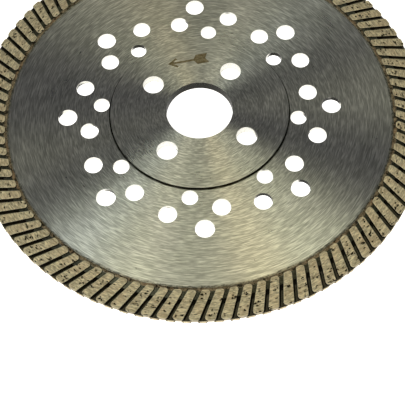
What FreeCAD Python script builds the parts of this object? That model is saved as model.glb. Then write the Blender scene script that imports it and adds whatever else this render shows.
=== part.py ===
import FreeCAD, Part
import math
import os
import Sketcher

# Segmented-rim ("turbo") diamond blade for an angle grinder, 150 mm across.
# Frame: origin at the centre of the bore, half way through the blade; +Z is the spin axis and
# points out of the front face, the one that carries the direction arrow. Millimetres and degrees.
#
# From the middle plane outwards the blade is: a steel core disc; on each face of it a thin braze
# film and a round hub plate; around the core's edge a thin sintered web; on each face of the web
# a row of leaning diamond teeth, whose inner ends lap over the edge of the core; and under the
# tips of the teeth a ring of bronze that bonds them to the core.

DRIVING_SIZES = [
    ("blade_diameter", 150.0),
    ("bore_diameter", 22.23),
    ("core_diameter", 136.2),
    ("core_thickness", 1.6),
    ("hub_diameter", 59.5),
    ("hub_thickness", 0.8),
    ("braze_diameter", 59.1),
    ("braze_thickness", 0.03),
    ("bolt_circle", 37.6),
    ("bolt_hole_diameter", 7.0),
    ("bolt_hole_count", 4),
    ("bolt_hole_angle", 45.0),
    ("vent_arm_count", 8),
    ("rim_thickness", 2.4),
    ("web_thickness", 0.4),
    ("tooth_inner_radius", 65.0),
    ("tooth_count", 96),
    ("teeth_in_sector", 12),
    ("slot_width", 1.27),
    ("slot_lean", 23.0),
    ("lean_radius", 70.0),
    ("front_tooth_angle", 0.47),
    ("sharp_corner_round", 0.9),
    ("blunt_corner_round", 0.45),
    ("bond_inner_radius", 64.3),
    ("bond_outer_radius", 65.5),
    ("bond_height", 0.1),
    ("bond_bevel", 0.06),
]

# One spiral arm of cooling holes, from the hub outwards: radius, angle and diameter of each.
VENTS = [
    ("vent_first", 33.0, -16.3, 5.3),
    ("vent_second", 37.1, 0.0, 6.0),
    ("vent_third", 40.05, 19.5, 6.0),
    ("vent_fourth", 44.05, 36.3, 6.3),
]

# Sizes that follow from the driving ones.
DERIVED_SIZES = [
    ("blade_radius", "=blade_diameter / 2"),
    ("core_radius", "=core_diameter / 2"),
    ("core_half", "=core_thickness / 2"),
    ("hub_low", "=core_half + braze_thickness"),
    ("rim_half", "=rim_thickness / 2"),
    ("web_half", "=web_thickness / 2"),
    ("tooth_height", "=rim_half - web_half"),
    ("tooth_pitch", "=360 / tooth_count"),
    ("sector_angle", "=tooth_pitch * teeth_in_sector"),
    ("rear_tooth_angle", "=front_tooth_angle + tooth_pitch / 2"),
    ("slot_offset", "=lean_radius * sin(slot_lean * 1deg)"),
]

FRONT = 1
REAR = -1
SIDES = (("front", FRONT), ("rear", REAR))
SPIN_AXIS = FreeCAD.Vector(0, 0, 1)


def fill_sheet(doc):
    """The spreadsheet that every sub-part takes its sizes from."""
    sheet = doc.addObject("Spreadsheet::Sheet", "sizes")
    rows = [(alias, str(value)) for alias, value in DRIVING_SIZES]
    for name, radius, angle, diameter in VENTS:
        rows.append((name + "_radius", str(radius)))
        rows.append((name + "_angle", str(angle)))
        rows.append((name + "_diameter", str(diameter)))
    rows += DERIVED_SIZES
    for row, (alias, content) in enumerate(rows, start=1):
        sheet.set(f"A{row}", alias)
        sheet.set(f"B{row}", content)
        sheet.setAlias(f"B{row}", alias)
    doc.recompute()
    return sheet


def new_body(doc, label):
    body = doc.addObject("PartDesign::Body", label)
    body.Label = label
    return body


def new_sketch(body, name, role):
    """A sketch on one of the body's own origin planes."""
    sketch = body.newObject("Sketcher::SketchObject", name)
    plane = [item for item in body.Origin.OriginFeatures if item.Role == role][0]
    sketch.AttachmentSupport = [(plane, "")]
    sketch.MapMode = "FlatFace"
    return sketch


def bind(sketch, constraint, name, expression):
    """Adds a dimension to a sketch and ties it to the sheet."""
    index = sketch.addConstraint(constraint)
    sketch.renameConstraint(index, name)
    sketch.setExpression("Constraints." + name, expression)


def centred_circle(sketch, name, radius_expression, start_radius):
    origin = FreeCAD.Vector(0, 0, 0)
    circle = sketch.addGeometry(Part.Circle(origin, SPIN_AXIS, start_radius), False)
    sketch.addConstraint(Sketcher.Constraint("Coincident", circle, 3, -1, 1))
    radius = Sketcher.Constraint("Radius", circle, start_radius)
    bind(sketch, radius, name, radius_expression)


def hole_outline(sketch, sheet, name, distance, angle, diameter):
    """A circle at a polar place; distance, angle and diameter are expressions for the sheet."""
    reach = sheet.evalExpression(distance)
    turn = math.radians(sheet.evalExpression(angle))
    radius = sheet.evalExpression(diameter) / 2
    x, y = reach * math.cos(turn), reach * math.sin(turn)
    circle = sketch.addGeometry(Part.Circle(FreeCAD.Vector(x, y, 0), SPIN_AXIS, radius), False)
    across = Sketcher.Constraint("DistanceX", -1, 1, circle, 3, x)
    bind(sketch, across, name + "_x", f"({on_sheet(distance)}) * cos(({on_sheet(angle)}) * 1deg)")
    up = Sketcher.Constraint("DistanceY", -1, 1, circle, 3, y)
    bind(sketch, up, name + "_y", f"({on_sheet(distance)}) * sin(({on_sheet(angle)}) * 1deg)")
    size = Sketcher.Constraint("Radius", circle, radius)
    bind(sketch, size, name + "_r", f"({on_sheet(diameter)}) / 2")


def on_sheet(expression):
    """Puts the sheet's name before each alias in an expression."""
    words = expression.split()
    return " ".join("sizes." + word if word[0].isalpha() else word for word in words)


def pad_disc(body, sheet, name, outer_alias, inner_alias, thickness_alias):
    """A flat ring between two diameters, standing on the body's XY plane."""
    sketch = new_sketch(body, name + "_outline", "XY_Plane")
    for part, alias in (("outer", outer_alias), ("inner", inner_alias)):
        start = sheet.get(alias) / 2
        centred_circle(sketch, part, f"sizes.{alias} / 2", start)
    pad = body.newObject("PartDesign::Pad", name)
    pad.Profile = sketch
    pad.setExpression("Length", "sizes." + thickness_alias)
    body.Document.recompute()
    return pad


def cut_holes(body, name, sketch, count_alias):
    """Cuts a sketch right through the body and repeats it evenly around the spin axis."""
    pocket = body.newObject("PartDesign::Pocket", name)
    pocket.Profile = sketch
    pocket.Type = "ThroughAll"
    pocket.Reversed = True
    body.Document.recompute()
    pattern = body.newObject("PartDesign::PolarPattern", name + "_around")
    pattern.Originals = [pocket]
    pattern.Axis = (sketch, ["N_Axis"])
    pattern.Angle = 360
    pattern.setExpression("Occurrences", "sizes." + count_alias)
    body.Tip = pattern
    body.Document.recompute()


def cut_bolt_holes(body, sheet):
    sketch = new_sketch(body, "bolt_hole_outline", "XY_Plane")
    hole_outline(sketch, sheet, "bolt", "bolt_circle / 2", "bolt_hole_angle", "bolt_hole_diameter")
    cut_holes(body, "bolt_hole", sketch, "bolt_hole_count")


def make_core(doc, sheet):
    """The steel disc that everything else is fixed to, pierced by eight arms of cooling holes."""
    body = new_body(doc, "core_disc")
    pad_disc(body, sheet, "disc", "core_diameter", "bore_diameter", "core_thickness")
    cut_bolt_holes(body, sheet)
    vents = new_sketch(body, "vent_outlines", "XY_Plane")
    for name, _, _, _ in VENTS:
        hole_outline(vents, sheet, name, name + "_radius", name + "_angle", name + "_diameter")
    cut_holes(body, "vents", vents, "vent_arm_count")
    body.setExpression("Placement.Base.z", "-sizes.core_half")
    return body


def make_hub_layer(doc, sheet, label, diameter_alias, thickness_alias, base_expression):
    """A round layer of the hub with the bore and the four bolt holes through it."""
    body = new_body(doc, label)
    pad_disc(body, sheet, "disc", diameter_alias, "bore_diameter", thickness_alias)
    cut_bolt_holes(body, sheet)
    body.setExpression("Placement.Base.z", base_expression)
    return body


def make_hub(doc, sheet):
    """On each face of the core: a film of braze and the hub plate that it holds."""
    film_top = "sizes.core_half + sizes.braze_thickness"
    plate_top = "sizes.hub_low + sizes.hub_thickness"
    film = ("braze_diameter", "braze_thickness")
    plate = ("hub_diameter", "hub_thickness")
    return [
        make_hub_layer(doc, sheet, "front_hub_braze", *film, "sizes.core_half"),
        make_hub_layer(doc, sheet, "rear_hub_braze", *film, f"-({film_top})"),
        make_hub_layer(doc, sheet, "front_hub_plate", *plate, "sizes.hub_low"),
        make_hub_layer(doc, sheet, "rear_hub_plate", *plate, f"-({plate_top})"),
    ]


def make_web(doc, sheet):
    """The thin sintered ring at mid-plane, beyond the core's edge, that joins the two rows."""
    body = new_body(doc, "rim_web")
    pad_disc(body, sheet, "web", "blade_diameter", "core_diameter", "web_thickness")
    body.setExpression("Placement.Base.z", "-sizes.web_half")
    return body


def closed_profile(sketch, name, points):
    """A polygon in the XZ plane; each corner is a pair of expressions for radius and height."""
    places = [tuple(float(sketch.evalExpression(axis)) for axis in point) for point in points]
    corners = [FreeCAD.Vector(x, z, 0) for x, z in places]
    lines = []
    for index, corner in enumerate(corners):
        following = corners[(index + 1) % len(corners)]
        lines.append(sketch.addGeometry(Part.LineSegment(corner, following), False))
    for index, line in enumerate(lines):
        following = lines[(index + 1) % len(lines)]
        sketch.addConstraint(Sketcher.Constraint("Coincident", line, 2, following, 1))
    for index, line in enumerate(lines):
        radius, height = points[index]
        across = Sketcher.Constraint("DistanceX", -1, 1, line, 1, places[index][0])
        bind(sketch, across, f"{name}{index}_radius", radius)
        up = Sketcher.Constraint("DistanceY", -1, 1, line, 1, places[index][1])
        bind(sketch, up, f"{name}{index}_height", height)


def make_bond_ring(doc, name, side):
    """The low bronze ring on one face of the core, with a bevelled inner edge."""
    body = new_body(doc, f"{name}_bond_ring")
    sketch = new_sketch(body, "bond_section", "XZ_Plane")
    core_face = f"{side} * sizes.core_half"
    shoulder = f"{side} * (sizes.core_half + sizes.bond_height - sizes.bond_bevel)"
    crest = f"{side} * (sizes.core_half + sizes.bond_height)"
    closed_profile(sketch, "bond", [
        ("sizes.bond_inner_radius", core_face),
        ("sizes.bond_outer_radius", core_face),
        ("sizes.bond_outer_radius", crest),
        ("sizes.bond_inner_radius + sizes.bond_bevel", crest),
        ("sizes.bond_inner_radius", shoulder),
    ])
    ring = body.newObject("PartDesign::Revolution", "bond")
    ring.Profile = sketch
    ring.ReferenceAxis = (sketch, ["V_Axis"])
    ring.Angle = 360
    doc.recompute()
    return body


def tooth_sides(sheet, tooth_angle):
    """The two straight flanks of a tooth: direction in degrees and distance from the axis."""
    half_slot = sheet.slot_width / 2
    low = (tooth_angle - sheet.tooth_pitch / 2 - sheet.slot_lean, sheet.slot_offset + half_slot)
    high = (tooth_angle + sheet.tooth_pitch / 2 - sheet.slot_lean, sheet.slot_offset - half_slot)
    return low, high


def flank_point(flank, radius):
    """Where a flank crosses a circle about the spin axis."""
    angle, distance = flank
    turn = math.radians(angle)
    outward = FreeCAD.Vector(math.cos(turn), math.sin(turn), 0)
    normal = FreeCAD.Vector(-math.sin(turn), math.cos(turn), 0)
    along = math.sqrt(radius ** 2 - distance ** 2)
    return normal * distance + outward * along


def arc_between(sketch, radius, start, end, name, expression):
    """An arc about the origin, from start anticlockwise to end."""
    circle = Part.Circle(FreeCAD.Vector(0, 0, 0), SPIN_AXIS, radius)
    first = math.atan2(start.y, start.x)
    last = math.atan2(end.y, end.x)
    arc = sketch.addGeometry(Part.ArcOfCircle(circle, first, last), False)
    sketch.addConstraint(Sketcher.Constraint("Coincident", arc, 3, -1, 1))
    bind(sketch, Sketcher.Constraint("Radius", arc, radius), name, expression)
    return arc


def tooth_outline(body, sheet, tooth_alias):
    """The plan of one tooth: two flanks that lean back from the radius, and two round ends."""
    sketch = new_sketch(body, "tooth_outline", "XY_Plane")
    low, high = tooth_sides(sheet, sheet.get(tooth_alias))
    flanks = []
    for flank in (low, high):
        start = flank_point(flank, sheet.tooth_inner_radius)
        end = flank_point(flank, sheet.blade_radius)
        flanks.append(sketch.addGeometry(Part.LineSegment(start, end), False))
    ends = []
    for name in ("tooth_inner_radius", "blade_radius"):
        radius = sheet.get(name)
        start, end = flank_point(low, radius), flank_point(high, radius)
        ends.append(arc_between(sketch, radius, start, end, name, "sizes." + name))
    for end_number, end in enumerate(ends, start=1):
        for corner, flank in enumerate(flanks, start=1):
            joint = Sketcher.Constraint("Coincident", end, corner, flank, end_number)
            sketch.addConstraint(joint)
    for name, flank, line, sign in (("low", low, flanks[0], "-"), ("high", high, flanks[1], "+")):
        other = "+" if sign == "-" else "-"
        turn = Sketcher.Constraint("Angle", line, math.radians(flank[0]))
        bind(sketch, turn, name + "_angle",
             f"(sizes.{tooth_alias} {sign} sizes.tooth_pitch / 2 - sizes.slot_lean) * 1deg")
        gap = Sketcher.Constraint("Distance", -1, 1, line, flank[1])
        bind(sketch, gap, name + "_offset", f"sizes.slot_offset {other} sizes.slot_width / 2")
    return sketch


def corner_edges(shape, flank, radius):
    """Names of the upright edges of a tooth where one flank meets one round end."""
    corner = flank_point(flank, radius)
    names = []
    for number, edge in enumerate(shape.Edges, start=1):
        ends = [vertex.Point for vertex in edge.Vertexes]
        upright = all(math.hypot(p.x - corner.x, p.y - corner.y) < 1e-4 for p in ends)
        if upright and len(ends) == 2:
            names.append(f"Edge{number}")
    return names


def round_corners(body, name, base, edges, radius_alias):
    fillet = body.newObject("PartDesign::Fillet", name)
    fillet.Base = (base, edges)
    fillet.setExpression("Radius", "sizes." + radius_alias)
    body.Document.recompute()
    return fillet


def make_tooth_sector(doc, sheet, name, side, number):
    """Twelve separate teeth on one face: an eighth of that face's row."""
    tooth_alias = name + "_tooth_angle"
    body = new_body(doc, f"{name}_teeth_{number}")
    body.AllowCompound = True
    outline = tooth_outline(body, sheet, tooth_alias)
    outline.setExpression("AttachmentOffset.Base.z", f"{side} * sizes.web_half")
    pad = body.newObject("PartDesign::Pad", "tooth")
    pad.Profile = outline
    pad.Reversed = side == REAR
    pad.setExpression("Length", "sizes.tooth_height")
    doc.recompute()

    # The flanks lean, so two of the four corners are sharper than a right angle.
    low, high = tooth_sides(sheet, sheet.get(tooth_alias))
    sharp = [(high, sheet.tooth_inner_radius), (low, sheet.blade_radius)]
    blunt = [(low, sheet.tooth_inner_radius), (high, sheet.blade_radius)]
    edges = sum([corner_edges(pad.Shape, *corner) for corner in sharp], [])
    rounded = round_corners(body, "sharp_corners", pad, edges, "sharp_corner_round")
    edges = sum([corner_edges(rounded.Shape, *corner) for corner in blunt], [])
    round_corners(body, "blunt_corners", rounded, edges, "blunt_corner_round")

    # Room for the core's edge and for the bronze ring under the tip.
    relief_outline = new_sketch(body, "relief_section", "XZ_Plane")
    inside = "sizes.bond_inner_radius - 1"
    floor = "0"
    core_face = f"{side} * sizes.core_half"
    bond_crest = f"{side} * (sizes.core_half + sizes.bond_height)"
    closed_profile(relief_outline, "relief", [
        (inside, floor),
        ("sizes.core_radius", floor),
        ("sizes.core_radius", core_face),
        ("sizes.bond_outer_radius", core_face),
        ("sizes.bond_outer_radius", bond_crest),
        (inside, bond_crest),
    ])
    relief = body.newObject("PartDesign::Groove", "relief")
    relief.Profile = relief_outline
    relief.ReferenceAxis = (relief_outline, ["V_Axis"])
    relief.Angle = 360
    doc.recompute()

    row = body.newObject("PartDesign::PolarPattern", "row")
    row.TransformMode = "Whole shape"
    row.Axis = (outline, ["N_Axis"])
    row.Mode = "Spacing"
    row.setExpression("Offset", "sizes.tooth_pitch * 1deg")
    row.setExpression("Occurrences", "sizes.teeth_in_sector")
    body.Tip = row
    body.Placement = FreeCAD.Placement(FreeCAD.Vector(), FreeCAD.Rotation(SPIN_AXIS, 0))
    turn = f"sizes.sector_angle * {number - 1} * 1deg"
    body.setExpression("Placement.Rotation.Angle", turn)
    doc.recompute()
    return body


def check(doc, bodies):
    """Stops before anything is written if any object failed or any sub-part isn't sound."""
    doc.recompute()
    for item in doc.Objects:
        if "Invalid" in item.State or "Error" in item.State:
            raise RuntimeError(f"{item.Label} failed: {item.State}")
    for body in bodies:
        if body.Shape.isNull() or not body.Shape.isValid() or not body.Shape.Solids:
            raise RuntimeError(f"{body.Label} has no sound shape")


def main():
    doc = FreeCAD.newDocument("diamond_blade")
    sheet = fill_sheet(doc)
    bodies = [make_core(doc, sheet)]
    bodies += make_hub(doc, sheet)
    bodies.append(make_web(doc, sheet))
    sectors = round(sheet.tooth_count / sheet.teeth_in_sector)
    for name, side in SIDES:
        bodies.append(make_bond_ring(doc, name, side))
        for number in range(1, sectors + 1):
            bodies.append(make_tooth_sector(doc, sheet, name, side, number))
    check(doc, bodies)

    os.makedirs("parts", exist_ok=True)
    for body in bodies:
        body.Shape.exportStep(f"parts/{body.Label}.step")
        box = body.Shape.BoundBox
        print(f"{body.Label}: {len(body.Shape.Solids)} solids, {body.Shape.Volume:.2f} mm3, "
              f"x {box.XMin:.3f}..{box.XMax:.3f}  y {box.YMin:.3f}..{box.YMax:.3f}  "
              f"z {box.ZMin:.3f}..{box.ZMax:.3f}")


main()
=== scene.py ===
"""Looks of the diamond blade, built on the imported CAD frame. Lengths are in metres."""

import math

import bmesh
import bpy
import numpy as np
from mathutils import Matrix, Vector


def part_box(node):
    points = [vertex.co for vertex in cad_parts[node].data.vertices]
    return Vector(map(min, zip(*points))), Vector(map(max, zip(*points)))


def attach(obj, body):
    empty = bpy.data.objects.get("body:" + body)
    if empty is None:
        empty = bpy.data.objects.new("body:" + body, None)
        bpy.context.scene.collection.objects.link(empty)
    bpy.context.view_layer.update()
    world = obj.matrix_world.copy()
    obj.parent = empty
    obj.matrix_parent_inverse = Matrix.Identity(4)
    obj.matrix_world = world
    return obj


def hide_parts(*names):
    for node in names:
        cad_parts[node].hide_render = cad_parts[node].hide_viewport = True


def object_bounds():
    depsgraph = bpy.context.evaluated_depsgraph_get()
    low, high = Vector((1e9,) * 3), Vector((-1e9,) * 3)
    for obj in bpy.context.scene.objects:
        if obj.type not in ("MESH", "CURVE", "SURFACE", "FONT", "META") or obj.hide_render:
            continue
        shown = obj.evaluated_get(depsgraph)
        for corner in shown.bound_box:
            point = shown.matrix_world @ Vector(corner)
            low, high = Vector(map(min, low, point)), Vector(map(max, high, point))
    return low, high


MM = 0.001
SECTORS = 8
FRONT, REAR = 1, -1

# The photograph's view. Angles are in degrees, lens and sensor in millimetres.
VIEW_AZIMUTH = -8.2
VIEW_ELEVATION = 61.2
VIEW_ROLL = -3.2
VIEW_DISTANCE = 332 * MM
VIEW_TARGET = (-5.4 * MM, -32.9 * MM, 0.0)
VIEW_LENS = 92.5
SENSOR_WIDTH = 36.0
CLIP_NEAR, CLIP_FAR = 0.01, 20.0

WORLD_LIGHT = (0.06, 0.06, 0.07)

# The studio: five named lights, and a rear row of equal ones evenly spaced.
LIGHT_DISTANCE = 1.5
LIGHT_SIZE = 0.3
WARM = (1.0, 0.93, 0.7)
AMBER = (1.0, 0.8, 0.4)
COOL = (0.8, 0.95, 1.0)
STRAW = (1.0, 1.0, 0.7)
# Name, azimuth, elevation, colour, power in watts.
SOFTBOXES = (
    ("key", 225, 45, WARM, 8.0),
    ("near_right", 315, 75, AMBER, 2.5),
    ("far_left", 160, 65, COOL, 1.0),
    ("side_right", 45, 47, STRAW, 0.2),
    ("side_left", 135, 47, STRAW, 0.3),
)
REAR_ROW_START = 15
REAR_ROW_STEP = 35
REAR_ROW_COUNT = 4
REAR_ROW_ELEVATION = 70
REAR_ROW_POWER = 0.5
FLOOR_HALF = 3.0
FLOOR_GAP = 0.01 * MM

# Near black, for painted shadow on the web beside the core and painted shade on the dark cut walls.
NEAR_BLACK = (0.004, 0.004, 0.003, 1)
WEB_COLOURS = ((0.036, 0.036, 0.028, 1), (0.092, 0.088, 0.066, 1), (0.075, 0.055, 0.032, 1))
# The tooth walls' skin is near black: dark sintered skin with painted shade, and painted shadow where
# it spreads at the trailing foot.
TOOTH_WALL_COLOURS = ((0.003, 0.003, 0.002, 1), (0.010, 0.009, 0.007, 1), (0.016, 0.011, 0.006, 1))
# How far the web's painted shadow band reaches past the core, and where the core's stain and skin
# start; the skin is partly painted shade.
SHADOW_REACH = 1.6 * MM
STAIN_BEFORE_BOND = 0.80 * MM
SKIN_AND_SHADE_BEFORE_BOND_EDGE = 0.1 * MM
CORE_TURNS, HUB_TURNS = 12.0, 8.0
WORKING_EDGE_SHADE = 0.55

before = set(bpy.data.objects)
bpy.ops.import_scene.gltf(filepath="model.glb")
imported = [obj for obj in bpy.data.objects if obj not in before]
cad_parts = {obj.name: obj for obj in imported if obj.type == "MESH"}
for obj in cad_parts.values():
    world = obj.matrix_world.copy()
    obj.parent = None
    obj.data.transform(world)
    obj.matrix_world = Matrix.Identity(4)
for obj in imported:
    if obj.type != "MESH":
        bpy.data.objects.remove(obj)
cad_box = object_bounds()


# ---------------------------------------------------------------- sizes read from the frame


def node_points(node):
    """Every vertex of a CAD node, as rows of x, y and z."""
    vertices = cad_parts[node].data.vertices
    flat = np.zeros(len(vertices) * 3)
    vertices.foreach_get("co", flat)
    return flat.reshape(-1, 3)


def ring_of(node):
    """Inner radius, outer radius, lowest z and highest z of a CAD node about the blade's axis."""
    points = node_points(node)
    radius = np.hypot(points[:, 0], points[:, 1])
    return radius.min(), radius.max(), points[:, 2].min(), points[:, 2].max()


def tooth_outlines(node, height):
    """The closed outline of every tooth's flat outer face, as arrays of x and y."""
    mesh = bmesh.new()
    mesh.from_mesh(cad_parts[node].data)
    bmesh.ops.remove_doubles(mesh, verts=mesh.verts, dist=0.0005 * MM)
    flat = [f for f in mesh.faces if all(abs(v.co.z - height) < 0.001 * MM for v in f.verts)]
    chosen = set(flat)
    follow = {}
    for face in flat:
        for loop in face.loops:
            if sum(1 for other in loop.edge.link_faces if other in chosen) == 1:
                follow[loop.vert] = loop.link_loop_next.vert
    outlines = []
    while follow:
        start = next(iter(follow))
        chain = [start]
        step = follow.pop(start)
        while step is not start:
            chain.append(step)
            step = follow.pop(step)
        outlines.append(np.array([(v.co.x, v.co.y) for v in chain]))
    mesh.free()
    return outlines


# ---------------------------------------------------------------- seeded noise for mesh work


def lattice(ix, iy, iz, seed):
    """A repeatable random number in 0..1 for each whole-number lattice point."""
    mixed = (ix * 73856093) ^ (iy * 19349663) ^ (iz * 83492791) ^ (seed * 97531)
    mixed &= 0xFFFFFFFF
    mixed = ((mixed ^ (mixed >> 15)) * 0x2C1B3C6D) & 0xFFFFFFFF
    mixed = ((mixed ^ (mixed >> 12)) * 0x297A2D39) & 0xFFFFFFFF
    return (mixed ^ (mixed >> 15)) / 4294967295.0


def smooth_noise(points, period, seed):
    """Value noise in -1..1 at an array of points, with the given period in metres."""
    scaled = np.asarray(points, float) / period
    base = np.floor(scaled).astype(np.int64)
    part = scaled - base
    part = part * part * (3 - 2 * part)
    total = np.zeros(len(scaled))
    for corner in range(8):
        offset = np.array([corner & 1, corner >> 1 & 1, corner >> 2 & 1])
        weight = np.prod(np.where(offset, part, 1 - part), axis=1)
        total += weight * lattice(*(base + offset).T, seed)
    return total * 2 - 1


# ---------------------------------------------------------------- node materials


class Shader:
    """One material's node tree, with short calls that add and link nodes."""

    def __init__(self, name):
        self.material = bpy.data.materials.new(name)
        self.material.use_nodes = True
        self.tree = self.material.node_tree
        self.tree.nodes.clear()
        self.surface = self.node("ShaderNodeBsdfPrincipled")
        output = self.node("ShaderNodeOutputMaterial")
        self.tree.links.new(self.surface.outputs["BSDF"], output.inputs["Surface"])
        self.position = self.node("ShaderNodeTexCoord").outputs["Object"]

    def node(self, kind, **settings):
        made = self.tree.nodes.new(kind)
        for name, value in settings.items():
            setattr(made, name, value)
        return made

    def feed(self, socket, value):
        """Sets a socket to a constant, or links it to another socket."""
        if isinstance(value, bpy.types.NodeSocket):
            self.tree.links.new(value, socket)
        else:
            socket.default_value = value

    def set(self, **values):
        """Sets the surface's own sockets by name, with _ for a space."""
        for name, value in values.items():
            self.feed(self.surface.inputs[name.replace("_", " ")], value)

    def math(self, operation, *values):
        made = self.node("ShaderNodeMath", operation=operation)
        for socket, value in zip(made.inputs, values):
            self.feed(socket, value)
        return made.outputs[0]

    def add(self, *values):
        total = values[0]
        for value in values[1:]:
            total = self.math("ADD", total, value)
        return total

    def times(self, *values):
        total = values[0]
        for value in values[1:]:
            total = self.math("MULTIPLY", total, value)
        return total

    def parts(self, vector):
        made = self.node("ShaderNodeSeparateXYZ")
        self.feed(made.inputs[0], vector)
        return made.outputs

    def combine(self, x, y, z):
        made = self.node("ShaderNodeCombineXYZ")
        for socket, value in zip(made.inputs, (x, y, z)):
            self.feed(socket, value)
        return made.outputs[0]

    def noise(self, vector, scale, detail=2.0, roughness=0.5, distortion=0.0):
        made = self.node("ShaderNodeTexNoise")
        self.feed(made.inputs["Vector"], vector)
        self.feed(made.inputs["Scale"], scale)
        self.feed(made.inputs["Detail"], detail)
        self.feed(made.inputs["Roughness"], roughness)
        self.feed(made.inputs["Distortion"], distortion)
        return made.outputs["Fac"]

    def cells(self, vector, scale):
        """Distance to the nearest of many scattered points."""
        made = self.node("ShaderNodeTexVoronoi")
        self.feed(made.inputs["Vector"], vector)
        self.feed(made.inputs["Scale"], scale)
        return made.outputs["Distance"]

    def between(self, value, low, high, out_low=0.0, out_high=1.0):
        """Smooth step of value from low to high, mapped to out_low..out_high."""
        made = self.node("ShaderNodeMapRange", interpolation_type="SMOOTHSTEP")
        for socket, number in zip(made.inputs, (value, low, high, out_low, out_high)):
            self.feed(socket, number)
        return made.outputs[0]

    def mix(self, factor, first, second, blend="MIX"):
        made = self.node("ShaderNodeMix", data_type="RGBA", blend_type=blend)
        sockets = {socket.identifier: socket for socket in made.inputs}
        self.feed(sockets["Factor_Float"], factor)
        self.feed(sockets["A_Color"], first)
        self.feed(sockets["B_Color"], second)
        return next(s for s in made.outputs if s.identifier == "Result_Color")

    def bump(self, height, distance, strength=1.0):
        made = self.node("ShaderNodeBump")
        made.inputs["Strength"].default_value = strength
        made.inputs["Distance"].default_value = distance
        self.feed(made.inputs["Height"], height)
        return made.outputs["Normal"]

    def attribute(self, name):
        made = self.node("ShaderNodeAttribute", attribute_name=name)
        return made.outputs["Fac"]

    def radius(self):
        """Distance from the blade's axis, in metres."""
        x, y, _ = self.parts(self.position)
        return self.math("SQRT", self.add(self.times(x, x), self.times(y, y)))

    def upright(self):
        """1 on faces that look up or down, 0 on walls."""
        normal = self.parts(self.node("ShaderNodeNewGeometry").outputs["True Normal"])
        return self.between(self.math("ABSOLUTE", normal[2]), 0.4, 0.8)

    def ring_vector(self, radius, across, around, shift=0.0):
        """Coordinates that stretch noise into arcs round the axis, without a seam."""
        x, y, z = self.parts(self.position)
        cos = self.math("DIVIDE", x, radius)
        sin = self.math("DIVIDE", y, radius)
        depth = self.add(self.times(radius, across), self.times(z, 9000.0), shift)
        return self.combine(self.times(cos, around), self.times(sin, around), depth)

    def arcs(self, radius, across, around, shift, detail, roughness, low, high):
        """Grinding arcs: ring noise between low and high, as 0..1."""
        noise = self.noise(self.ring_vector(radius, across, around, shift), 1.0, detail, roughness)
        return self.between(noise, low, high)

    def scattered(self, scale, near, far, choice_scale, low, high):
        """Round marks of one size, kept only where a slow noise lies past low towards high."""
        mark = self.between(self.cells(self.position, scale), near, far, 1.0, 0.0)
        return self.times(mark, self.between(self.noise(self.position, choice_scale, 1.0), low, high))


def steel_walls(sh, radius, bore, edge):
    """The cut walls' colour, and where they are clean: drilled holes are; bore and edge are near black,
    dark oxide with painted shade that deepens towards the bottom.
    """
    grain = sh.between(sh.noise(sh.position, 2600.0, 3.0, 0.6), 0.3, 0.7)
    height = sh.between(sh.parts(sh.position)[2], -1.2 * MM, 1.6 * MM)
    dark = sh.mix(grain, NEAR_BLACK, (0.020, 0.020, 0.015, 1))
    lighter_top = sh.mix(grain, (0.006, 0.006, 0.005, 1), (0.020, 0.020, 0.016, 1))
    # Lighter towards the top of the dark cut walls: painted shade that deepens towards the bottom.
    dark = sh.mix(sh.times(height, 0.8), dark, lighter_top)
    burnt = sh.between(sh.noise(sh.position, 75.0, 2.0, 0.6), 0.56, 0.62)
    clean = sh.mix(grain, (0.62, 0.62, 0.59, 1), (0.84, 0.84, 0.80, 1))
    drilled = sh.times(
        sh.between(radius, bore + 0.2 * MM, bore + 0.3 * MM),
        sh.between(radius, edge - 0.3 * MM, edge - 0.2 * MM, 1.0, 0.0),
    )
    bare = sh.times(drilled, sh.math("SUBTRACT", 1.0, burnt))
    return sh.mix(bare, dark, clean), bare


def seam_shadow(sh, radius, seam, cloud, colour):
    """The dark line on the core where the hub plate ends."""
    from_seam = sh.math("ABSOLUTE", sh.add(radius, -seam))
    near_seam = sh.between(from_seam, 0.30 * MM, 0.72 * MM, 1.0, 0.0)
    strength = sh.times(near_seam, sh.between(cloud, 0.2, 0.6, 0.75, 1.0))
    return sh.mix(strength, colour, (0.018, 0.017, 0.012, 1))


def stained_rim(sh, radius, rim_start, stain_start, colour, rough):
    """Flaky soot before the bond, then the dark skin that lies under the teeth, darkened further as
    painted shade of the slots.
    """
    coarse = sh.add(sh.noise(sh.position, 620.0, 3.0, 0.65), -0.5)
    place = sh.add(radius, sh.times(coarse, 1.5 * MM))
    flakes = sh.arcs(radius, 2400.0, 60.0, 11.0, 2.0, 0.6, 0.42, 0.62)
    stain = sh.between(place, stain_start, stain_start + 0.55 * MM)
    soot = sh.mix(flakes, (0.085, 0.085, 0.072, 1), (0.42, 0.40, 0.33, 1))
    colour = sh.mix(sh.times(stain, 0.85), colour, soot)
    # The dark skin under and between the teeth: dark scale, darkened further as painted shade of the
    # slots.
    skin = sh.between(radius, rim_start, rim_start + 0.2 * MM)
    scale = sh.between(sh.noise(sh.position, 1500.0, 4.0, 0.6), 0.3, 0.7)
    scaled = sh.mix(scale, (0.062, 0.067, 0.054, 1), (0.150, 0.155, 0.125, 1))
    return sh.mix(skin, colour, scaled), sh.add(rough, sh.times(stain, 0.18), sh.times(skin, 0.15))


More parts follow.
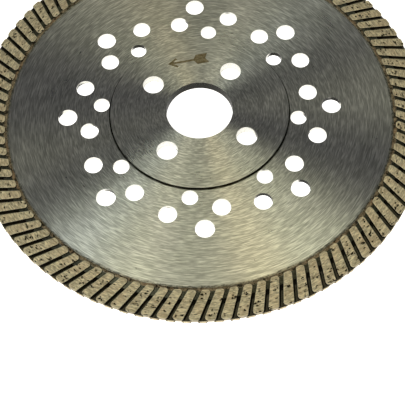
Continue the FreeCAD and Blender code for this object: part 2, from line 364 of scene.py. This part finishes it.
def brushed_steel(name, bore, edge, turns, rim_start=None, stain_start=None, seam=None):
    """Ground steel: grinding arcs with painted glints, pits, stains near the rim, a dark skin that is
    partly painted shade, a painted shadow at the hub seam, and cut walls.
    """
    sh = Shader(name)
    radius = sh.radius()
    hair = sh.arcs(radius, 4300.0, 1.6 * turns, 0.0, 2.0, 0.6, 0.3, 0.7)
    dash = sh.arcs(radius, 2900.0, 1.2 * turns, 31.0, 1.5, 0.5, 0.36, 0.76)
    long = sh.arcs(radius, 1500.0, 0.6 * turns, 71.0, 1.5, 0.6, 0.32, 0.74)
    band = sh.arcs(radius, 430.0, 3.2, 57.0, 2.0, 0.5, 0.3, 0.7)
    glint = sh.arcs(radius, 1800.0, 0.8 * turns, 83.0, 1.0, 0.5, 0.66, 0.78)
    smudge = sh.noise(sh.position, 60.0, 4.0, 0.55, 0.6)
    cloud = sh.noise(sh.position, 240.0, 3.0, 0.6)
    pit = sh.scattered(520.0, 0.05, 0.11, 130.0, 0.68, 0.74)
    nick = sh.scattered(330.0, 0.03, 0.065, 170.0, 0.30, 0.26)

    tone = sh.add(sh.times(dash, 0.40), sh.times(long, 0.08), sh.times(hair, 0.20), 0.36)
    tone = sh.add(tone, sh.times(band, 0.04), sh.times(cloud, 0.02), sh.times(glint, 0.18))
    colour = sh.mix(sh.between(smudge, 0.3, 0.7), (0.93, 0.93, 0.88, 1), (1.0, 0.99, 0.96, 1))
    colour = sh.mix(1.0, colour, sh.combine(tone, tone, tone), "MULTIPLY")
    colour = sh.mix(sh.times(pit, 0.8), colour, (0.05, 0.042, 0.03, 1))
    colour = sh.mix(sh.times(nick, 0.7), colour, (1.0, 1.0, 0.97, 1))
    rough = sh.add(sh.times(smudge, 0.08), sh.times(dash, 0.01), 0.245)

    if seam is not None:
        colour = seam_shadow(sh, radius, seam, cloud, colour)
    if rim_start is not None:
        colour, rough = stained_rim(sh, radius, rim_start, stain_start, colour, rough)

    upright = sh.upright()
    wall, bare = steel_walls(sh, radius, bore, edge)
    colour = sh.mix(upright, wall, colour)
    metal = sh.math("MAXIMUM", upright, bare)
    height = sh.add(dash, sh.times(hair, 0.35), sh.times(long, 0.5), sh.times(pit, -2.0))
    normal = sh.bump(sh.times(height, upright), 0.005 * MM, 1.0)
    tangent = sh.node("ShaderNodeTangent", direction_type="RADIAL", axis="Z")
    sh.set(Base_Color=colour, Roughness=rough, Metallic=metal, Specular_IOR_Level=0.1, Normal=normal)
    sh.set(Anisotropic=0.9, Anisotropic_Rotation=0.25, Tangent=tangent.outputs[0])
    return sh.material


def sintered_skin_and_shadow(name, dark, light, rust, shadow_end=None):
    """The dark, rough, unground skin of the sintered rim, with its ground working edge and, when an end
    is given, a painted shadow band next to the core.
    """
    sh = Shader(name)
    radius = sh.radius()
    grain = sh.noise(sh.position, 2200.0, 5.0, 0.7)
    clots = sh.cells(sh.position, 1500.0)
    patches = sh.noise(sh.position, 300.0, 3.0, 0.6)
    colour = sh.mix(sh.between(grain, 0.3, 0.72), dark, light)
    colour = sh.mix(sh.times(sh.between(patches, 0.5, 0.7), 0.5), colour, rust)
    # A near-black band just past the core's edge: painted shadow of the core's step on the web.
    if shadow_end is not None:
        place = sh.add(radius, sh.times(sh.add(patches, -0.5), 0.9 * MM))
        soot = sh.between(place, shadow_end - 0.25 * MM, shadow_end + 0.25 * MM, 0.97, 0.0)
        colour = sh.mix(soot, colour, NEAR_BLACK)
        ground = sh.mix(sh.between(grain, 0.3, 0.7), (0.46, 0.38, 0.24, 1), (0.80, 0.70, 0.49, 1))
        colour = sh.mix(sh.upright(), ground, colour)
    rough = sh.between(grain, 0.2, 0.8, 0.6, 0.9)
    height = sh.add(grain, sh.times(clots, 0.6))
    sh.set(Base_Color=colour, Roughness=rough, Metallic=0.0, Normal=sh.bump(height, 0.05 * MM, 0.9))
    sh.set(Specular_IOR_Level=0.1)
    return sh.material


def ground_matrix(name, shade=1.0):
    """The ground outer face of a tooth: tan metal with grinding arcs, pores darkened with painted
    shade, and edges lightened with a painted highlight.
    """
    sh = Shader(name)
    radius = sh.radius()
    streak = sh.arcs(radius, 2500.0, 42.0, 0.0, 2.5, 0.62, 0.3, 0.7)
    hair = sh.arcs(radius, 6200.0, 70.0, 7.0, 2.0, 0.6, 0.3, 0.7)
    wide = sh.arcs(radius, 900.0, 24.0, 19.0, 2.0, 0.5, 0.5, 0.75)
    warm = sh.between(sh.noise(sh.position, 210.0, 3.0, 0.55), 0.4, 0.7)
    mottle = sh.noise(sh.position, 1100.0, 4.0, 0.65)
    ragged = sh.add(sh.noise(sh.position, 2300.0, 3.0, 0.65), -0.5)
    speck_shape = sh.cells(sh.ring_vector(radius, 2600.0, 110.0, 3.0), 1.0)
    speck_choice = sh.noise(sh.position, 800.0, 2.0)
    speck = sh.times(sh.between(speck_shape, 0.2, 0.4, 1.0, 0.0), sh.between(speck_choice, 0.60, 0.66))
    depth = sh.attribute("pore")
    pore = sh.between(sh.add(depth, sh.times(ragged, 0.9)), 0.38, 0.55)
    halo = sh.between(sh.add(depth, sh.times(ragged, 0.5)), 0.04, 0.40)
    edge = sh.attribute("edge")

    colour = sh.mix(streak, (0.27, 0.225, 0.145, 1), (0.95, 0.86, 0.65, 1))
    colour = sh.mix(sh.times(hair, 0.22), colour, (0.95, 0.92, 0.77, 1))
    colour = sh.mix(sh.times(wide, 0.60), colour, (0.29, 0.23, 0.14, 1))
    colour = sh.mix(sh.times(warm, 0.35), colour, (0.70, 0.54, 0.37, 1))
    colour = sh.mix(sh.times(sh.between(mottle, 0.52, 0.75), 0.40), colour, (0.87, 0.85, 0.72, 1))
    # Lighter along the outline: a painted highlight on the rounded edge.
    colour = sh.mix(sh.times(edge, 0.35), colour, (0.91, 0.90, 0.74, 1))
    colour = sh.mix(sh.times(halo, 0.45), colour, (0.23, 0.18, 0.10, 1))
    colour = sh.mix(sh.times(speck, 0.80), colour, (0.07, 0.06, 0.04, 1))
    # Near black inside the pores: painted shade of the deep pores.
    colour = sh.mix(pore, colour, (0.010, 0.009, 0.006, 1))
    colour = sh.mix(1.0, colour, (shade, shade, shade, 1), "MULTIPLY")
    rough = sh.add(sh.times(streak, 0.16), sh.times(pore, 0.3), 0.40)
    height = sh.add(sh.times(streak, 0.8), sh.times(hair, 0.2))
    height = sh.add(height, sh.times(mottle, 0.6), sh.times(speck, -1.2))
    sh.set(Base_Color=colour, Roughness=rough, Metallic=0.45, Normal=sh.bump(height, 0.014 * MM, 0.9))
    return sh.material


def bronze_bond(name):
    """Bronze that ran out between the tooth tips and the steel, sooty and partly scaled."""
    sh = Shader(name)
    grain = sh.between(sh.noise(sh.position, 1700.0, 4.0, 0.65), 0.3, 0.7)
    soot = sh.noise(sh.position, 620.0, 4.0, 0.65)
    copper = sh.noise(sh.position, 150.0, 2.0, 0.5)
    colour = sh.mix(grain, (0.11, 0.088, 0.058, 1), (0.38, 0.31, 0.215, 1))
    colour = sh.mix(sh.times(sh.between(copper, 0.50, 0.68), 0.5), colour, (0.33, 0.20, 0.115, 1))
    colour = sh.mix(sh.between(soot, 0.50, 0.60), colour, (0.030, 0.026, 0.018, 1))
    colour = sh.mix(sh.times(sh.between(soot, 0.36, 0.30), 0.7), colour, (0.55, 0.47, 0.34, 1))
    rough = sh.between(soot, 0.3, 0.7, 0.38, 0.75)
    sh.set(Base_Color=colour, Roughness=rough, Metallic=0.6, Normal=sh.bump(grain, 0.03 * MM, 0.9))
    return sh.material


def braze_metal(name):
    """The edge of the thin braze film: dull yellow metal with dark flux stains."""
    sh = Shader(name)
    grain = sh.noise(sh.position, 1800.0, 3.0, 0.6)
    colour = sh.mix(sh.between(grain, 0.35, 0.7), (0.03, 0.028, 0.02, 1), (0.12, 0.10, 0.06, 1))
    rough = sh.between(grain, 0.3, 0.7, 0.5, 0.75)
    sh.set(Base_Color=colour, Roughness=rough, Metallic=0.8, Normal=sh.bump(grain, 0.01 * MM, 0.6))
    return sh.material


def crystal_grit(name):
    """Synthetic diamond grit: dark, glassy, with fine growth steps."""
    sh = Shader(name)
    grain = sh.noise(sh.position, 5200.0, 3.0, 0.6)
    body = sh.noise(sh.position, 300.0, 1.0)
    colour = sh.mix(sh.between(body, 0.35, 0.65), (0.05, 0.052, 0.03, 1), (0.16, 0.15, 0.08, 1))
    rough = sh.between(grain, 0.3, 0.7, 0.10, 0.32)
    sh.set(Base_Color=colour, Roughness=rough, Metallic=0.0, IOR=2.2)
    sh.set(Normal=sh.bump(grain, 0.006 * MM, 0.5))
    return sh.material


def etched_mark(name):
    """Laser etching on the ground steel: brown, matt, broken by the grinding arcs."""
    sh = Shader(name)
    radius = sh.radius()
    arcs = sh.noise(sh.ring_vector(radius, 3600.0, 16.0), 1.0, 3.0, 0.6)
    spots = sh.noise(sh.position, 2400.0, 3.0, 0.6)
    colour = sh.mix(sh.between(arcs, 0.35, 0.7), (0.17, 0.135, 0.072, 1), (0.38, 0.33, 0.215, 1))
    colour = sh.mix(sh.times(sh.between(spots, 0.5, 0.7), 0.5), colour, (0.07, 0.055, 0.03, 1))
    rough = sh.between(spots, 0.3, 0.7, 0.45, 0.65)
    sh.set(Base_Color=colour, Roughness=rough, Metallic=0.5, Normal=sh.bump(spots, 0.006 * MM, 0.7))
    return sh.material


def pale_floor_material(name):
    """A plain pale studio sweep, faintly uneven, that stays white under the soft light."""
    sh = Shader(name)
    grain = sh.noise(sh.position, 900.0, 3.0, 0.6)
    colour = sh.mix(grain, (0.86, 0.86, 0.86, 1), (0.90, 0.90, 0.90, 1))
    rough = sh.between(grain, 0.2, 0.8, 0.6, 0.75)
    sh.set(Base_Color=colour, Roughness=rough, Normal=sh.bump(grain, 0.01 * MM, 0.3))
    sh.set(Emission_Color=(1, 1, 1, 1), Emission_Strength=1.1)
    return sh.material


# ---------------------------------------------------------------- mesh pieces


def new_piece(name, points, faces, materials, face_material=None, smooth=True):
    """A mesh piece that rides on the blade."""
    mesh = bpy.data.meshes.new(name)
    mesh.from_pydata([tuple(p) for p in points], [], [tuple(int(i) for i in f) for f in faces])
    for material in materials:
        mesh.materials.append(material)
    if face_material is not None:
        mesh.polygons.foreach_set("material_index", np.asarray(face_material, np.int32))
    mesh.polygons.foreach_set("use_smooth", np.full(len(mesh.polygons), smooth))
    mesh.update()
    piece = bpy.data.objects.new(name, mesh)
    bpy.context.scene.collection.objects.link(piece)
    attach(piece, "root")
    return piece


def store(piece, name, values):
    """Keeps one number for each vertex, for the material to read."""
    layer = piece.data.attributes.new(name, "FLOAT", "POINT")
    layer.data.foreach_set("value", np.asarray(values, np.float32))


def row_limits(outline, radii):
    """For each radius, the two angles where that circle crosses a tooth's outline."""
    nearby = np.roll(outline, -1, axis=0)
    centre = math.atan2(*outline.mean(axis=0)[::-1])
    radius_a, radius_b = np.hypot(*outline.T), np.hypot(*nearby.T)
    limits = []
    for radius in radii:
        crossed = np.flatnonzero((radius_a - radius) * (radius_b - radius) < 0)
        share = (radius - radius_a[crossed]) / (radius_b[crossed] - radius_a[crossed])
        at = outline[crossed] + share[:, None] * (nearby[crossed] - outline[crossed])
        angle = np.arctan2(at[:, 1], at[:, 0])
        angle = centre + (angle - centre + math.pi) % (2 * math.pi) - math.pi
        limits.append((angle.min(), angle.max()))
    return np.array(limits)


def spaced(length, ends, middle):
    """Distances from 0 to length: fine steps near both ends, even steps between."""
    fine = np.array(ends)
    count = max(1, round((length - 2 * fine[-1]) / middle))
    inner = np.linspace(fine[-1], length - fine[-1], count + 1)
    return np.concatenate([fine[:-1], inner, (length - fine[:-1])[::-1]])


def edge_distance(points, outline):
    """Shortest distance from each point to a closed outline."""
    start, end = outline, np.roll(outline, -1, axis=0)
    along = end - start
    length = np.maximum((along**2).sum(axis=1), 1e-18)
    offset = points[:, None, :] - start[None]
    share = np.clip((offset * along[None]).sum(axis=2) / length, 0, 1)
    nearest = offset - share[..., None] * along[None]
    return np.sqrt((nearest**2).sum(axis=2)).min(axis=1)


class Tooth:
    """One tooth: a fine grid on its ground face, and rough walls down to the steel."""

    ROW_ENDS = np.array([0.002, 0.03, 0.09, 0.18, 0.31, 0.48, 0.70, 0.95]) * MM
    COLUMN_ENDS = np.array([0.0, 0.05, 0.13, 0.26]) * MM
    STEP = 0.19 * MM
    WALL_LEVELS = (0.10, 0.34, 0.66, 1.0)
    # The trailing flare spreads the near-black wall skin over the web beside each tooth: a painted
    # shadow.
    FLARE, TRAILING_FLARE = 0.12, 0.45
    FOOT_DEPTH = 0.03 * MM
    FACE_MATERIAL, WALL_MATERIAL, WORN_MATERIAL = 0, 1, 2

    def __init__(self, outline, side, top, sizes, seed):
        self.outline, self.side, self.top, self.sizes = outline, side, top, sizes
        self.random = np.random.default_rng(seed)
        self.seed = seed
        inner = np.hypot(*outline.T).min()
        outer = np.hypot(*outline.T).max()
        self.radii = inner + spaced(outer - inner, self.ROW_ENDS, self.STEP)
        self.radii = self.with_core_edge(self.radii)
        limits = row_limits(outline, self.radii)
        width = np.median(limits[:, 1] - limits[:, 0]) * (inner + outer) / 2
        shares = spaced(width, self.COLUMN_ENDS, self.STEP) / width
        self.rows, self.columns = len(self.radii), len(shares)
        angle = limits[:, :1] + (limits[:, 1:] - limits[:, :1]) * shares[None]
        x, y = self.radii[:, None] * np.cos(angle), self.radii[:, None] * np.sin(angle)
        self.flat = np.stack([x.ravel(), y.ravel()], axis=1)
        self.flat = self.worn_outline(self.flat)

    def with_core_edge(self, radii):
        """Two rows close to the core's edge, where the tooth's foot steps down to the web."""
        edge = self.sizes["core_radius"]
        kept = radii[np.abs(radii - edge) > 0.05 * MM]
        return np.sort(np.concatenate([kept, [edge - 0.01 * MM, edge + 0.01 * MM]]))

    def worn_outline(self, flat):
        """Small in-and-out irregularity, strongest at the outline."""
        self.distance = edge_distance(flat, self.outline)
        pull = np.clip(1 - self.distance / (0.5 * MM), 0, 1)
        there = np.column_stack([flat, np.full(len(flat), self.side * MM)])
        shift_x = smooth_noise(there, 0.7 * MM, 11) + 0.5 * smooth_noise(there, 0.25 * MM, 12)
        shift_y = smooth_noise(there, 0.7 * MM, 13) + 0.5 * smooth_noise(there, 0.25 * MM, 14)
        return flat + np.column_stack([shift_x, shift_y]) * pull[:, None] * 0.035 * MM

    def pit_list(self):
        """Clusters of pores on the ground face: centre, reach along and across the arc, depth."""
        inside = np.flatnonzero(self.distance > 0.30 * MM)
        outward = np.hypot(*self.flat[inside].T)
        weight = 0.5 + 1.2 * (outward - outward.min()) / (outward.max() - outward.min())
        clusters = self.random.integers(4, 9)
        starts = self.random.choice(inside, clusters, replace=False, p=weight / weight.sum())
        pits = []
        for start in starts:
            centre = self.flat[start]
            for _ in range(self.random.integers(1, 4)):
                along = self.random.uniform(0.20, 0.58) * MM
                across = self.random.uniform(0.13, 0.27) * MM
                pits.append((centre, along, across, self.random.uniform(0.06, 0.15) * MM))
                centre = centre + self.random.normal(0, 0.34, 2) * MM
        return pits

    def face_heights(self):
        """How far each grid point lies below the ground face, and how deep in a pore it is."""
        there = np.column_stack([self.flat, np.full(len(self.flat), self.side * MM)])
        chip = np.clip(smooth_noise(there, 0.55 * MM, 21), 0, 1) ** 2
        edge_radius = (0.07 + 0.16 * chip) * MM
        near = np.clip(1 - self.distance / edge_radius, 0, 1)
        drop = edge_radius * (1 - np.sqrt(1 - near**2))
        self.pits = self.pit_list()
        wobble = 1 + 0.45 * smooth_noise(there, 0.30 * MM, 31)
        pore = np.zeros(len(self.flat))
        for centre, reach_along, reach_across, deep in self.pits:
            offset = self.flat - centre
            radial = centre / np.hypot(*centre)
            across = offset @ radial
            along = offset @ np.array([-radial[1], radial[0]])
            reach = np.hypot(across / reach_across, along / reach_along) * wobble
            inside = np.clip(1.25 - reach, 0, 1)
            drop += deep * np.clip(inside * 1.6, 0, 1)
            pore = np.maximum(pore, np.clip(inside, 0, 1))
        drop += 0.008 * MM * (1 + smooth_noise(there, 1.1 * MM, 41))
        return drop, pore

    def perimeter(self):
        """Grid indices round the edge of the face, counter-clockwise seen from the front."""
        grid = np.arange(self.rows * self.columns).reshape(self.rows, self.columns)
        first_side = grid[:-1, 0]
        outer = grid[-1, :-1]
        last_side = grid[:0:-1, -1]
        inner = grid[0, :0:-1]
        return np.concatenate([first_side, outer, last_side, inner])

    def face_quads(self):
        grid = np.arange(self.rows * self.columns).reshape(self.rows, self.columns)
        quads = np.stack([grid[:-1, :-1], grid[1:, :-1], grid[1:, 1:], grid[:-1, 1:]], axis=-1)
        quads = quads.reshape(-1, 4)
        return quads[:, ::-1] if self.side == REAR else quads

    def wall_flare(self, edge_xy, rise, outward):
        """How far the foot of the wall stands out, most on the trailing side, where the wide foot in
        the near-black wall skin is a painted shadow on the web.
        """
        radius = np.hypot(*edge_xy.T)
        around = (edge_xy[:, 0] * outward[:, 1] - edge_xy[:, 1] * outward[:, 0]) / radius
        flare = (self.FLARE + self.TRAILING_FLARE * np.clip(around, 0, 1)) * rise
        return flare * np.clip((self.radii[-1] - 0.1 * MM - radius) / (0.6 * MM), 0, 1)

    def wall_materials(self, ring):
        """A darker copy of the ground face on the front teeth's outer wall as painted shade, the ground
        face itself on the rear teeth's outer wall, wall skin elsewhere.
        """
        working_edge = ring // self.columns == self.rows - 1
        working_edge = working_edge & np.roll(working_edge, -1)
        edge_index = self.WORN_MATERIAL if self.side == FRONT else self.FACE_MATERIAL
        return np.where(working_edge, edge_index, self.WALL_MATERIAL)

    def walls(self, drop):
        """Points, faces and material index of the walls, level by level down to the foot."""
        ring = self.perimeter()
        edge_xy = self.flat[ring]
        edge_z = self.top - drop[ring]
        on_core = np.hypot(*edge_xy.T) < self.sizes["core_radius"]
        foot = np.where(on_core, self.sizes["core_top"], self.sizes["web_top"]) - self.FOOT_DEPTH
        outward = self.outward(edge_xy)
        flare = self.wall_flare(edge_xy, edge_z - foot, outward)
        points, faces = [], []
        last = ring
        for order, level in enumerate(self.WALL_LEVELS):
            z = edge_z + (foot - edge_z) * level
            there = np.column_stack([edge_xy, self.side * z])
            rough = smooth_noise(there, 0.35 * MM, 51) + 0.6 * smooth_noise(there, 0.16 * MM, 52)
            push = (0.012 + 0.022 * rough * min(1, 3 * level)) * MM + flare * level**2
            points.append(np.column_stack([edge_xy + outward * push[:, None], self.side * z]))
            index = len(self.flat) + order * len(ring) + np.arange(len(ring))
            quad = np.stack([last, np.roll(last, -1), np.roll(index, -1), index], axis=-1)
            faces.append(quad if self.side == REAR else quad[:, ::-1])
            last = index
        materials = np.tile(self.wall_materials(ring), len(self.WALL_LEVELS))
        return np.concatenate(points), np.concatenate(faces), materials

    def build(self):
        """Points, faces, material index, pore and edge values of the whole tooth."""
        drop, pore = self.face_heights()
        face = np.column_stack([self.flat, self.side * (self.top - drop)])
        quads = self.face_quads()
        wall_points, wall_faces, wall_material = self.walls(drop)
        unmarked = np.zeros(len(wall_points))
        edge = np.clip(1 - self.distance / (0.16 * MM), 0, 1)
        return (
            np.concatenate([face, wall_points]),
            np.concatenate([quads, wall_faces]),
            np.concatenate([np.full(len(quads), self.FACE_MATERIAL), wall_material]),
            np.concatenate([pore, unmarked]),
            np.concatenate([edge, unmarked]),
        )

    def outward(self, loop):
        """Unit vectors that point out of the tooth along its perimeter."""
        along = np.roll(loop, -1, axis=0) - np.roll(loop, 1, axis=0)
        normal = np.stack([along[:, 1], -along[:, 0]], axis=1)
        normal /= np.maximum(np.hypot(*normal.T), 1e-9)[:, None]
        middle = loop.mean(axis=0)
        if ((loop - middle) * normal).sum() < 0:
            normal = -normal
        return normal


def tooth_sector(side, number, sizes, materials):
    """The twelve detailed teeth that stand for one CAD sector, and where their pores are."""
    word = "front" if side == FRONT else "rear"
    node = f"{word}_teeth_{number}"
    top = max(abs(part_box(node)[0].z), abs(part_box(node)[1].z))
    points, faces, index, pores, edges, pits = [], [], [], [], [], []
    base = 0
    for order, outline in enumerate(tooth_outlines(node, side * top)):
        tooth = Tooth(outline, side, top, sizes, 1000 * number + 10 * order + (side == FRONT))
        part = tooth.build()
        points.append(part[0])
        faces.append(part[1] + base)
        index.append(part[2])
        pores.append(part[3])
        edges.append(part[4])
        pits += tooth.pits
        base += len(part[0])
    piece = new_piece(
        f"{word}_teeth_detail_{number}",
        np.concatenate(points),
        np.concatenate(faces),
        materials,
        np.concatenate(index),
    )
    store(piece, "pore", np.concatenate(pores))
    store(piece, "edge", np.concatenate(edges))
    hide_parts(node)
    return pits, top


CRYSTAL_POINTS = np.array(
    [(a, b, 0) for a in (-1, 1) for b in (-1, 1)]
    + [(a, 0, b) for a in (-1, 1) for b in (-1, 1)]
    + [(0, a, b) for a in (-1, 1) for b in (-1, 1)],
    float,
) / math.sqrt(2)


def crystal_faces():
    """Faces of a cuboctahedron, the blocky habit of saw grit."""
    mesh = bmesh.new()
    for point in CRYSTAL_POINTS:
        mesh.verts.new(point)
    mesh.verts.index_update()
    bmesh.ops.convex_hull(mesh, input=mesh.verts)
    bmesh.ops.dissolve_limit(mesh, angle_limit=0.02, verts=mesh.verts, edges=mesh.edges)
    mesh.verts.index_update()
    points = np.array([v.co for v in mesh.verts])
    faces = [[v.index for v in f.verts] for f in mesh.faces]
    mesh.free()
    return points, faces


def grit(side, pits, top, material):
    """Crystals that stand in some of the pores of one side's teeth."""
    word = "front" if side == FRONT else "rear"
    random = np.random.default_rng(77 if side == FRONT else 78)
    shape, shape_faces = crystal_faces()
    points, faces = [], []
    for centre, *_ in pits:
        if random.random() > 0.5:
            continue
        scale = random.uniform(0.10, 0.17) * MM
        turn = Matrix.Rotation(random.uniform(0, 6.28), 3, random.normal(size=3))
        body = shape * random.uniform(0.8, 1.15, 3) @ np.array(turn).T * scale
        body += [*centre, side * (top - 0.8 * scale - 0.02 * MM)]
        base = len(shape) * len(points)
        points.append(body)
        faces += [[i + base for i in face] for face in shape_faces]
    new_piece(f"{word}_diamond_grit", np.concatenate(points), faces, [material], None,
              smooth=False)


BEAD_NOISE_RADIUS = 65 * MM


def bond_bead(side, material):
    """The uneven bead of bronze between the tooth tips and the steel."""
    word = "front" if side == FRONT else "rear"
    node = f"{word}_bond_ring"
    inner, outer, low, high = ring_of(node)
    base, crest = (low, high) if side == FRONT else (-high, -low)
    around, across = 1536, 9
    angle = np.linspace(0, 2 * math.pi, around, endpoint=False)
    circle = np.column_stack([np.cos(angle), np.sin(angle), np.zeros(around)])
    path = circle * BEAD_NOISE_RADIUS
    seed = 61 if side == FRONT else 67
    wander = smooth_noise(path, 2.4 * MM, seed) * 0.5
    wander += smooth_noise(path, 0.8 * MM, seed + 1) * 0.5
    inside = inner + (0.02 + 0.22 * wander) * MM
    outside = outer + 0.12 * MM * smooth_noise(path, 0.9 * MM, seed + 2)
    lump = 0.75 + 0.5 * smooth_noise(path, 1.3 * MM, seed + 3)
    points, faces = [], []
    for step in range(across):
        share = step / (across - 1)
        radius = inside + (outside - inside) * share
        hump = (1 - abs(2 * share - 1) ** 2.2) ** 0.7
        flat = circle[:, :2] * radius[:, None]
        there = np.column_stack([flat, np.zeros(around)])
        grain = 1 + 0.35 * smooth_noise(there, 0.4 * MM, seed + 4)
        z = base - 0.01 * MM + (crest - base) * hump * lump * grain
        points.append(np.column_stack([flat, side * z]))
    index = np.arange(across * around).reshape(across, around)
    turned = np.roll(index, -1, axis=1)
    quads = np.stack([index[:-1], index[1:], turned[1:], turned[:-1]], axis=-1).reshape(-1, 4)
    if side == REAR:
        quads = quads[:, ::-1]
    piece = new_piece(f"{word}_bond_bead", np.concatenate(points), quads, [material], None)
    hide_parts(node)


# ---------------------------------------------------------------- the etched direction arrow


ARROW_LINE_HEIGHT = 20.6 * MM
ETCH_HEIGHT = 0.008 * MM
# Half of a generic arrow's outline in mm, from its point to its tail; the other half mirrors it.
ARROW_HALF = ((-7, 0), (-4, 2), (-3.5, 1.5), (-5, 0.4), (2, 0.4), (3, 2), (7, 2), (6, 0))


def arrow_outline():
    """The arrow's outline in short steps, slightly ragged as a laser leaves it."""
    half = np.array(ARROW_HALF)
    mirrored = half[-2:0:-1] * [1, -1]
    corners = np.concatenate([half, mirrored]) * MM + [0, ARROW_LINE_HEIGHT]
    outline = []
    for start, end in zip(corners, np.roll(corners, -1, axis=0)):
        steps = max(1, round(np.hypot(*(end - start)) / (0.3 * MM)))
        outline += [start + (end - start) * part for part in np.linspace(0, 1, steps, endpoint=False)]
    outline = np.array(outline)
    there = np.column_stack([outline, np.zeros(len(outline))])
    shift = np.column_stack([smooth_noise(there, 0.4 * MM, 5), smooth_noise(there, 0.4 * MM, 6)])
    return outline + shift * 0.05 * MM


def direction_arrow(material):
    """A generic arrow that shows the way the blade turns, etched on the front hub plate."""
    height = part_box("front_hub_plate")[1].z + ETCH_HEIGHT
    mesh = bmesh.new()
    face = mesh.faces.new([mesh.verts.new((x, y, height)) for x, y in arrow_outline()])
    face.normal_update()
    if face.normal.z < 0:
        face.normal_flip()
    bmesh.ops.triangulate(mesh, faces=mesh.faces)
    data = bpy.data.meshes.new("direction_arrow")
    mesh.to_mesh(data)
    mesh.free()
    data.materials.append(material)
    piece = bpy.data.objects.new("direction_arrow", data)
    bpy.context.scene.collection.objects.link(piece)
    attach(piece, "root")


# ---------------------------------------------------------------- stage, light and camera


def pale_floor():
    """A wide plain sheet just under the rear hub plate."""
    low = cad_box[0].z - FLOOR_GAP
    half = FLOOR_HALF
    corners = [(-half, -half, low), (half, -half, low), (half, half, low), (-half, half, low)]
    data = bpy.data.meshes.new("studio_floor")
    data.from_pydata(corners, [], [(0, 1, 2, 3)])
    data.materials.append(pale_floor_material("pale_floor"))
    floor = bpy.data.objects.new("studio_floor", data)
    bpy.context.scene.collection.objects.link(floor)


def softbox(name, azimuth, elevation, colour, power):
    """A square area light that faces the middle of the blade."""
    lamp = bpy.data.lights.new(name, "AREA")
    lamp.shape = "SQUARE"
    lamp.size = LIGHT_SIZE
    lamp.color = colour
    lamp.energy = power
    turn, rise = math.radians(azimuth), math.radians(elevation)
    away = Vector((math.cos(turn) * math.cos(rise), math.sin(turn) * math.cos(rise), math.sin(rise)))
    holder = bpy.data.objects.new(name, lamp)
    holder.location = away * LIGHT_DISTANCE
    holder.rotation_mode = "QUATERNION"
    holder.rotation_quaternion = away.to_track_quat("Z", "Y")
    bpy.context.scene.collection.objects.link(holder)


def light_studio():
    """The named softboxes, then the rear row."""
    for box in SOFTBOXES:
        softbox(*box)
    for place in range(REAR_ROW_COUNT):
        azimuth = REAR_ROW_START + place * REAR_ROW_STEP
        softbox(f"rear_{place + 1}", azimuth, REAR_ROW_ELEVATION, STRAW, REAR_ROW_POWER)


def set_world():
    """Faint even light from all round."""
    world = bpy.data.worlds.new("studio")
    world.use_nodes = True
    background = world.node_tree.nodes["Background"]
    background.inputs["Color"].default_value = (*WORLD_LIGHT, 1)
    background.inputs["Strength"].default_value = 1.0
    bpy.context.scene.world = world


def set_camera():
    """The camera at the photograph's place, with its roll."""
    turn, rise, roll = (math.radians(v) for v in (VIEW_AZIMUTH, VIEW_ELEVATION, VIEW_ROLL))
    back = Vector((math.sin(turn) * math.cos(rise), -math.cos(turn) * math.cos(rise), math.sin(rise)))
    level = Vector((math.cos(turn), math.sin(turn), 0))
    upward = back.cross(level)
    right = level * math.cos(roll) + upward * math.sin(roll)
    up = upward * math.cos(roll) - level * math.sin(roll)
    data = bpy.data.cameras.new("photo_view")
    data.lens = VIEW_LENS
    data.sensor_width = SENSOR_WIDTH
    data.clip_start, data.clip_end = CLIP_NEAR, CLIP_FAR
    camera = bpy.data.objects.new("photo_view", data)
    place = Matrix((right, up, back)).transposed().to_4x4()
    place.translation = Vector(VIEW_TARGET) + back * VIEW_DISTANCE
    camera.matrix_world = place
    bpy.context.scene.collection.objects.link(camera)
    bpy.context.scene.camera = camera


def paint(node, material):
    """Gives a CAD node its finished material."""
    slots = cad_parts[node].data.materials
    if len(slots) == 0:
        slots.append(material)
    for index in range(len(slots)):
        slots[index] = material


def build_blade():
    """Materials on the kept CAD nodes, and detailed pieces for the rest."""
    _, core_radius, _, core_top = ring_of("core_disc")
    bond_inner, bond_outer, _, _ = ring_of("front_bond_ring")
    sizes = {"core_radius": core_radius, "core_top": core_top, "web_top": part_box("rim_web")[1].z}
    web_skin_and_shadow = sintered_skin_and_shadow("web_skin_and_shadow", *WEB_COLOURS, core_radius + SHADOW_REACH)
    wall_skin_and_shadow = sintered_skin_and_shadow("tooth_wall_skin_and_shadow", *TOOTH_WALL_COLOURS)
    bore, hub_radius, _, _ = ring_of("front_hub_plate")
    core = brushed_steel("core_ground_steel", bore, core_radius, CORE_TURNS,
                         bond_outer - SKIN_AND_SHADE_BEFORE_BOND_EDGE, bond_inner - STAIN_BEFORE_BOND, hub_radius)
    paint("core_disc", core)
    hub = brushed_steel("hub_ground_steel", bore, hub_radius, HUB_TURNS)
    braze = braze_metal("braze_film")
    for word in ("front", "rear"):
        paint(f"{word}_hub_plate", hub)
        paint(f"{word}_hub_braze", braze)
    paint("rim_web", web_skin_and_shadow)
    face = ground_matrix("ground_diamond_matrix")
    # A darker copy of the ground face for the front teeth's outer wall: painted shade.
    working_edge = ground_matrix("shaded_working_edge", WORKING_EDGE_SHADE)
    bronze = bronze_bond("bronze_bond")
    stone = crystal_grit("diamond_grit")
    for side in (FRONT, REAR):
        pits, top = [], 0.0
        for number in range(1, SECTORS + 1):
            found, top = tooth_sector(side, number, sizes, [face, wall_skin_and_shadow, working_edge])
            pits += found
        grit(side, pits, top, stone)
        bond_bead(side, bronze)
    direction_arrow(etched_mark("etched_mark"))


def set_view_transform():
    """Plain display colours, with no film curve."""
    bpy.context.scene.view_settings.view_transform = "Standard"
    bpy.context.scene.view_settings.look = "None"


build_blade()
pale_floor()
light_studio()
set_world()
set_camera()
set_view_transform()
